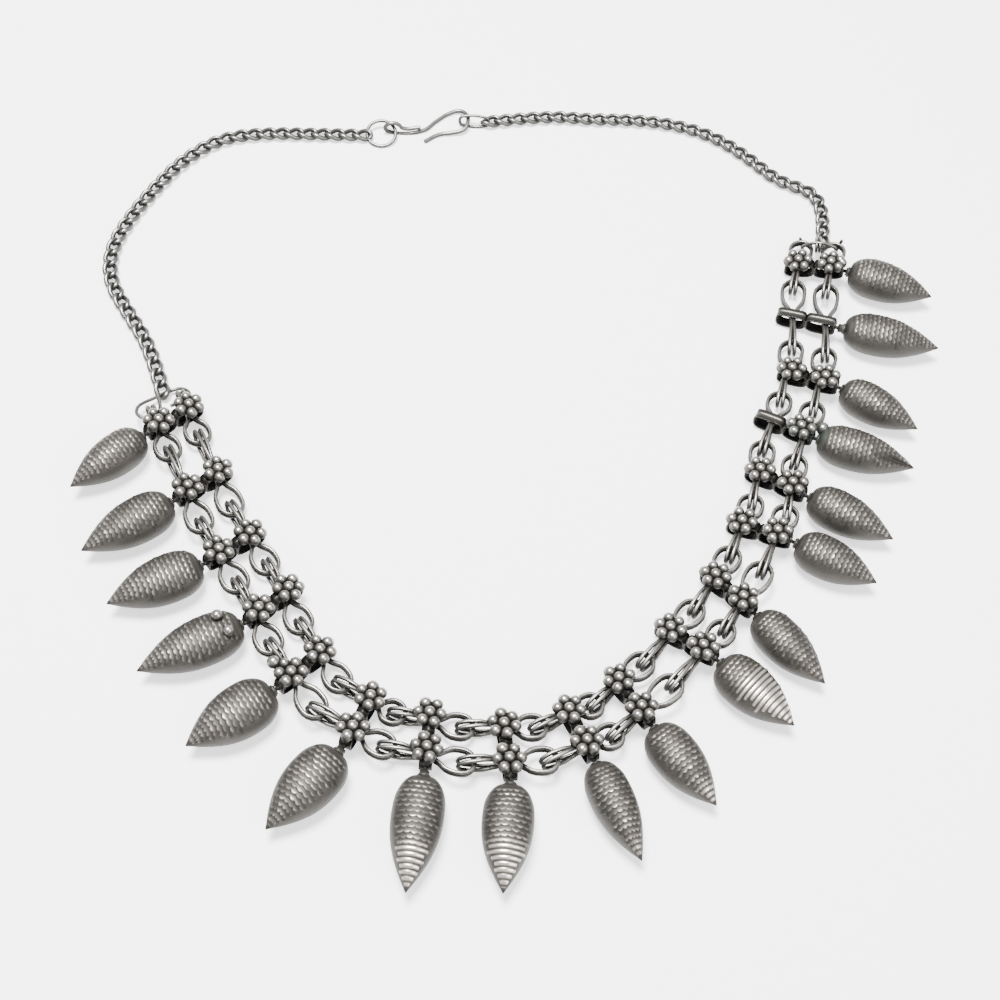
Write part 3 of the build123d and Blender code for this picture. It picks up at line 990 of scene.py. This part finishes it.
# %% [markdown]
# ## The joins at both ends of the rows
# At each end one wire is bent through both rows, and its ends are left as the maker cut them. The
# left wire goes round to its chain, and one of its ends stands up beside the first spacer. On the
# right, two small rings hold the wire to the chain. Each wire is a curve through its bends, because
# a curve keeps the wire round wherever it turns.

# %% The joining wires
join_wire = 0.62
ring_wire = 0.5
ring_shifts = (0.15, 0.75)
# Bends beside the first spacer, and beside the last: toward the drop, along the row, and up.
left_wire = [
    (0.0, -4.9, 2.0), (0.3, -3.5, 0.8), (1.0, -2.8, 0.07), (3.6, -2.8, 0.07),
    (3.9, -5.1, -0.2), (-1.4, -6.5, -1.0), (-3.6, -6.4, -1.0), (-5.6, -5.0, -0.3),
    (-5.2, -2.8, 0.07), (-1.4, -2.8, 0.07),
]
right_wire = [
    (4.8, 7.1, 0.4), (4.2, 6.9, -1.2), (3.8, 5.3, -1.44), (3.7, 4.5, -0.1), (3.5, 4.5, 1.1),
    (-2.2, 4.5, 1.1), (-2.4, 4.5, -0.1), (-2.3, 5.3, -1.44), (-2.5, 6.9, -1.2), (-3.0, 7.0, 0.5),
]
# Bends of a ring, in the plane along the row and up.
right_ring = [
    (3.55, 1.1), (3.9, 2.0), (4.8, 2.1), (7.6, 0.4),
    (8.2, -0.6), (7.9, -1.3), (6.9, -1.3), (4.2, 0.1),
]


def wire_piece(name, slot, material, wires, *nodes):
    """One piece of several wires, each given as its points, diameter and whether it is closed."""
    heap = Heap()
    for points, diameter, closed in wires:
        mesh = bent_wire(points, diameter, closed)
        heap.add_mesh(mesh, crown_wear(mesh, -0.3, 0.9))
    heap.piece(name, slot, material, *nodes)


last_number = len(stations) - 1
left_bends = [([by_station(0, *spot) for spot in left_wire], join_wire, False)]
wire_piece("wire_left_join", "link_silver", link_metal, left_bends, "left_join")
right_bends = [([by_station(last_number, *spot) for spot in right_wire], join_wire, False)]
wire_piece("wire_right_join", "link_silver", link_metal, right_bends, "right_join")
rings = []
for shift in ring_shifts:
    rings.append(([by_station(last_number, shift, y, z) for y, z in right_ring], ring_wire, True))
wire_piece("wire_right_rings", "link_silver", link_metal, rings, "right_rings")
print("wires bent at the two joins:", 2 + len(rings))

# %% [markdown]
# ## The curb chains
# A curb link is an oval ring whose two ends are twisted a quarter turn apart, so that all the
# links lie flat and hook each other. The tree bends one oval, twists it by its own length, gives
# it a round wire and copies it along the route, each link turned to the way the route runs there.

# %% The curb tree
link_bends = 20
link_sides = 8
chain_sizes = {
    "Pitch": 2.62 * MM,
    "Wire": 0.90 * MM,
    "Half width": 1.02 * MM,
    "Twist": math.radians(44),
}
curb_tree = new_tree("curb_chain", chain_sizes)
start = curb_tree.nodes.new("NodeGroupInput")
pitch_and_wire = tree_math(curb_tree, "ADD", start.outputs["Pitch"], start.outputs["Wire"])
half_length = tree_math(curb_tree, "MULTIPLY", pitch_and_wire, 0.5)
oval = tree_node(
    curb_tree,
    "GeometryNodeCurvePrimitiveCircle",
    inputs={"Resolution": link_bends, "Radius": 1.0},
)
spot = tree_node(curb_tree, "GeometryNodeInputPosition")
parts = tree_node(curb_tree, "ShaderNodeSeparateXYZ", inputs={"Vector": spot.outputs[0]})
wide = tree_math(curb_tree, "MULTIPLY", parts.outputs[1], start.outputs["Half width"])
long = tree_math(curb_tree, "MULTIPLY", parts.outputs[0], half_length)
flat = tree_node(curb_tree, "ShaderNodeCombineXYZ", inputs={"X": long, "Y": wide})
angle = tree_math(curb_tree, "MULTIPLY", parts.outputs[0], start.outputs["Twist"])
twisted = tree_node(
    curb_tree,
    "ShaderNodeVectorRotate",
    {"rotation_type": "X_AXIS"},
    {"Vector": flat.outputs[0], "Angle": angle},
)
bent = tree_node(
    curb_tree,
    "GeometryNodeSetPosition",
    inputs={"Geometry": oval.outputs["Curve"], "Position": twisted.outputs[0]},
)
wire_radius = tree_math(curb_tree, "MULTIPLY", start.outputs["Wire"], 0.5)
wire_round = tree_node(
    curb_tree,
    "GeometryNodeCurvePrimitiveCircle",
    inputs={"Resolution": link_sides, "Radius": wire_radius},
)
link = tree_node(
    curb_tree,
    "GeometryNodeCurveToMesh",
    inputs={"Curve": bent.outputs["Geometry"], "Profile Curve": wire_round.outputs["Curve"]},
)
spaced = tree_node(
    curb_tree,
    "GeometryNodeResampleCurve",
    {"mode": "LENGTH"},
    {"Curve": start.outputs["Geometry"], "Length": start.outputs["Pitch"]},
)
tangent = tree_node(curb_tree, "GeometryNodeInputTangent")
aimed = tree_node(
    curb_tree,
    "FunctionNodeAlignRotationToVector",
    {"axis": "X", "pivot_axis": "Z"},
    {"Vector": tangent.outputs[0]},
)
hooked = tree_node(
    curb_tree,
    "GeometryNodeInstanceOnPoints",
    inputs={
        "Points": spaced.outputs["Curve"],
        "Instance": link.outputs["Mesh"],
        "Rotation": aimed.outputs["Rotation"],
    },
)
real = tree_node(
    curb_tree,
    "GeometryNodeRealizeInstances",
    inputs={"Geometry": hooked.outputs["Instances"]},
)
dressed = tree_node(
    curb_tree,
    "GeometryNodeSetMaterial",
    inputs={"Geometry": real.outputs["Geometry"], "Material": chain_metal},
)
tree_node(curb_tree, "NodeGroupOutput", inputs={"Geometry": dressed.outputs["Geometry"]})
print("nodes in the curb tree:", len(curb_tree.nodes))

# %% [markdown]
# ## The two chains along their routes
# The chains lie where they fell, in easy bends from the band's ends to the clasp. Rigid-body
# simulation could drop them, but it would not end where the photograph shows them. So each has a
# route of points, rounded by a NURBS curve at the height of the chain's middle, and the tree
# hooks its links along it.

# %% The two chains along their routes
chain_middle = 1.0
# Points on the plan, in millimetres.
left_route = [
    (-49.8, -9.5), (-53.6, -1.2), (-59.2, 5.8), (-64.4, 12.6), (-66.0, 20.2), (-64.4, 28.2),
    (-61.6, 36.0), (-58.2, 43.8), (-52.4, 50.8), (-44.6, 53.6), (-36.2, 54.9), (-25.4, 56.4),
]
right_route = [
    (-0.9, 64.4), (9.8, 67.9), (18.6, 68.4), (27.4, 69.8), (35.8, 69.9), (43.6, 67.9),
    (50.4, 63.4), (56.6, 57.6), (63.4, 56.2), (65.6, 50.6), (65.2, 43.6),
]


def chain_route(name, route):
    """The route as a smooth curve, laid at the height of the chain's middle."""
    curve = bpy.data.curves.new(name, "CURVE")
    curve.dimensions = "3D"
    curve.resolution_u = 8
    spline = curve.splines.new("NURBS")
    spline.points.add(len(route) - 1)
    for point, (x, y) in zip(spline.points, route):
        place = (Vector((x, y, 0)) - centre + Vector((0, 0, chain_middle))) * MM
        point.co = (*place, 1.0)
    spline.order_u = 3
    spline.use_endpoint_u = True
    obj = bpy.data.objects.new(name, curve)
    bpy.context.scene.collection.objects.link(obj)
    return obj


for name, route in (("left_chain", left_route), ("right_chain", right_route)):
    mesh = grown(chain_route(name + "_route", route), curb_tree, chain_sizes)
    heap = Heap()
    heap.add_mesh(mesh, crown_wear(mesh, -0.5, 0.9))
    heap.piece("curb_" + name, "chain_silver", chain_metal, name)
    low = min(point[2] for point in heap.points)
    count = len(heap.faces) // (link_bends * link_sides)
    print(name, "links", count, "lowest point in mm", round(low, 2))

# %% [markdown]
# ## The clasp
# A ring ends the left chain, a hook bent from one wire hangs on it, and the hook holds a long
# link on the right chain. The hook's wire is folded back on itself, so its first stretch is
# doubled.

# %% The clasp
clasp_ring_wire = 0.7
hook_wire = 0.8
end_link_wire = 0.6
# The hook's bends, with their heights, in millimetres on the plan.
hook_route = [
    (-14.4, 60.1, 1.32), (-17.9, 59.3, 1.32), (-18.5, 59.2, 2.1), (-19.5, 59.0, 2.65),
    (-20.7, 58.7, 2.4), (-21.2, 58.6, 1.4), (-20.4, 58.8, 0.42), (-14.0, 60.2, 0.42),
    (-11.6, 63.3, 0.42), (-9.3, 65.8, 0.5), (-7.4, 66.6, 0.7), (-5.9, 65.6, 0.95),
    (-5.4, 63.2, 1.25), (-5.9, 61.4, 1.0), (-8.2, 60.4, 0.6), (-10.6, 59.7, 0.42),
    (-13.2, 57.3, 0.42),
]


def tilted_loop(place, half_length, half_width, turned, lean, corners, squareness):
    """A level loop turned to its heading and tilted about its length."""
    lengthwise = heading(turned)
    tilt = math.radians(lean)
    sideways = heading(turned + 90) * math.cos(tilt) + Vector((0, 0, math.sin(tilt)))
    points = []
    for corner in range(corners):
        angle = 2 * math.pi * (corner + 0.5) / corners
        x = math.copysign(abs(math.cos(angle)) ** squareness, math.cos(angle)) * half_length
        y = math.copysign(abs(math.sin(angle)) ** squareness, math.sin(angle)) * half_width
        points.append(Vector(place) - centre + lengthwise * x + sideways * y)
    return points


clasp_metal = silver(
    "clasp_silver",
    [
        (0.08, olive_black), (0.44, (0.045, 0.043, 0.039)), (0.76, (0.125, 0.120, 0.111)),
        (1.0, (0.33, 0.32, 0.30)),
    ],
    0.30,
    0.12,
)
ring_points = tilted_loop(
    place=(-21.8, 57.4, 1.07),
    half_length=2.8,
    half_width=2.8,
    turned=0,
    lean=15,
    corners=12,
    squareness=1.0,
)
hook_points = [Vector(point) - centre for point in hook_route]
link_points = tilted_loop(
    place=(-4.2, 63.7, 1.2),
    half_length=2.8,
    half_width=1.0,
    turned=5,
    lean=62,
    corners=8,
    squareness=0.6,
)
clasp_wires = [
    ("clasp_ring", ring_points, clasp_ring_wire, True),
    ("clasp_hook", hook_points, hook_wire, False),
    ("end_link", link_points, end_link_wire, True),
]
for name, points, diameter, closed in clasp_wires:
    wires = [(points, diameter, closed)]
    wire_piece("wire_" + name, "clasp_silver", clasp_metal, wires, name)
    print(name, "bent from", len(points), "points")

# %% [markdown]
# ## The floor and the light
# The choker lies on a plain pale floor, which glows a little so that soft lamps don't leave it
# grey. Silver shows what it mirrors, so the light is one soft source high over the choker, a
# broader and weaker one from its front right, and a pale sky. Small hard lamps would burn a white
# dot on each granule and leave the rest black.

# %% The floor and the lamps
floor_reach = 1.5
floor_colour = (0.90, 0.90, 0.90, 1.0)
floor_glow = 1.3
sky_colour = (0.85, 0.87, 0.90, 1.0)
sky_strength = 0.60

signs = [(-1, -1), (1, -1), (1, 1), (-1, 1)]
floor_corners = [(x * floor_reach, y * floor_reach, 0) for x, y in signs]
floor_mesh = bpy.data.meshes.new("floor")
floor_mesh.from_pydata(floor_corners, [], [[0, 1, 2, 3]])
floor = bpy.data.objects.new("floor", floor_mesh)
bpy.context.scene.collection.objects.link(floor)
floor_finish = Finish("pale_floor")
floor_finish.feed(floor_finish.shader.inputs["Base Color"], floor_colour)
floor_finish.feed(floor_finish.shader.inputs["Roughness"], 0.9)
floor_finish.feed(floor_finish.shader.inputs["Emission Color"], (1.0, 1.0, 1.0, 1.0))
floor_finish.feed(floor_finish.shader.inputs["Emission Strength"], floor_glow)
floor_mesh.materials.append(floor_finish.material)


def lamp(name, place, size, power):
    """A square soft lamp that faces the middle of the choker."""
    data = bpy.data.lights.new(name, "AREA")
    data.size = size
    data.energy = power
    obj = bpy.data.objects.new(name, data)
    obj.location = place
    obj.rotation_euler = (-Vector(place)).to_track_quat("-Z", "Y").to_euler()
    bpy.context.scene.collection.objects.link(obj)


lamp("key", place=(-0.10, 0.06, 0.60), size=0.22, power=17.0)
lamp("fill", place=(0.50, -0.30, 0.50), size=0.45, power=4.0)
world = bpy.data.worlds.new("studio")
world.use_nodes = True
sky = world.node_tree.nodes["Background"]
sky.inputs["Color"].default_value = sky_colour
sky.inputs["Strength"].default_value = sky_strength
bpy.context.scene.world = world
print("lamps:", len(bpy.data.lights))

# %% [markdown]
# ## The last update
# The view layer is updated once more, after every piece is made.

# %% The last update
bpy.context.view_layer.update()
